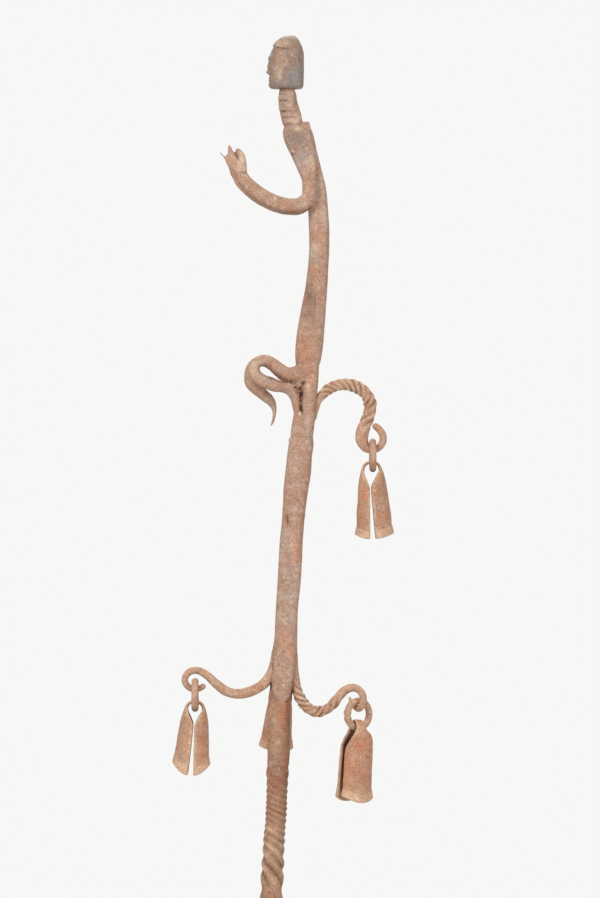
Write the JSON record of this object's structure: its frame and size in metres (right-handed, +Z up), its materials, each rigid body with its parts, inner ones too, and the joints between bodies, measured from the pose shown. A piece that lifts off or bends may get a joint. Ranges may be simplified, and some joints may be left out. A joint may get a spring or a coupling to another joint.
{
  "type": "iron ritual staff",
  "caption": "Forged iron staff with a pointed tang, a kneeling figure with raised hands on top, and folded sheet bells hanging from rings on curled hooks.",
  "frame": {"origin": "on the staff's line at ground level, where the tang goes into the ground", "axes": "+Z up along the staff, the figure faces -X, its left side is towards -Y, and the hooks for the side bells lie along X"},
  "size_m": [0.1328, 0.0693, 0.7575],
  "materials": {
    "iron": "matte, dusty brown patina on forged iron",
    "worn_iron": "matte, handled grey-brown iron",
    "rusty_sheet": "matte, orange-brown rust on thin forged sheet"
  },
  "bodies": {
    "staff": {"lower_shaft": "iron", "upper_shaft": "iron", "torso": "iron", "neck": "iron", "head": "worn_iron", "arm_left": "iron", "arm_right": "iron", "leg_left": "iron", "leg_right": "iron", "upper_hook": "iron", "left_hook": "iron", "right_hook": "iron", "back_hook": "iron"},
    "upper_ring": {"upper_link": "iron"},
    "upper_chime": {"upper_bell": "rusty_sheet"},
    "left_ring": {"left_link": "iron"},
    "left_chime": {"left_bell": "rusty_sheet"},
    "right_ring": {"right_link": "iron"},
    "right_chime": {"right_bell": "rusty_sheet"},
    "back_ring": {"back_link": "iron"},
    "back_chime": {"back_bell": "rusty_sheet"}
  },
  "joints": [
    {"name": "upper_ring_swing", "type": "hinge", "parent": "staff", "child": "upper_ring", "pos_m": [0.06346, 0, 0.37891], "axis": [1, 0, 0], "range_deg": [-60, 60]},
    {"name": "upper_bell_swing", "type": "hinge", "parent": "upper_ring", "child": "upper_chime", "pos_m": [0.06346, 0, 0.36757], "axis": [0, 1, 0], "range_deg": [-35, 35]},
    {"name": "left_ring_swing", "type": "hinge", "parent": "staff", "child": "left_ring", "pos_m": [-0.04317, 0, 0.23537], "axis": [1, 0, 0], "range_deg": [-60, 60]},
    {"name": "left_bell_swing", "type": "hinge", "parent": "left_ring", "child": "left_chime", "pos_m": [-0.04317, 0, 0.22381], "axis": [0, 1, 0], "range_deg": [-35, 35]},
    {"name": "right_ring_swing", "type": "hinge", "parent": "staff", "child": "right_ring", "pos_m": [0.05471, -0.00104, 0.22369], "axis": [0.5736, -0.8192, 0], "range_deg": [-25, 60]},
    {"name": "right_bell_swing", "type": "hinge", "parent": "right_ring", "child": "right_chime", "pos_m": [0.0543, -0.00133, 0.2122], "axis": [0.8175, 0.5724, -0.0628], "range_deg": [-35, 35]},
    {"name": "back_ring_swing", "type": "hinge", "parent": "staff", "child": "back_ring", "pos_m": [0.00819, 0.04499, 0.24206], "axis": [1, 0, 0], "range_deg": [-25, 60]},
    {"name": "back_bell_swing", "type": "hinge", "parent": "back_ring", "child": "back_chime", "pos_m": [0.00819, 0.04499, 0.23053], "axis": [0, 1, 0], "range_deg": [-35, 35]}
  ]
}
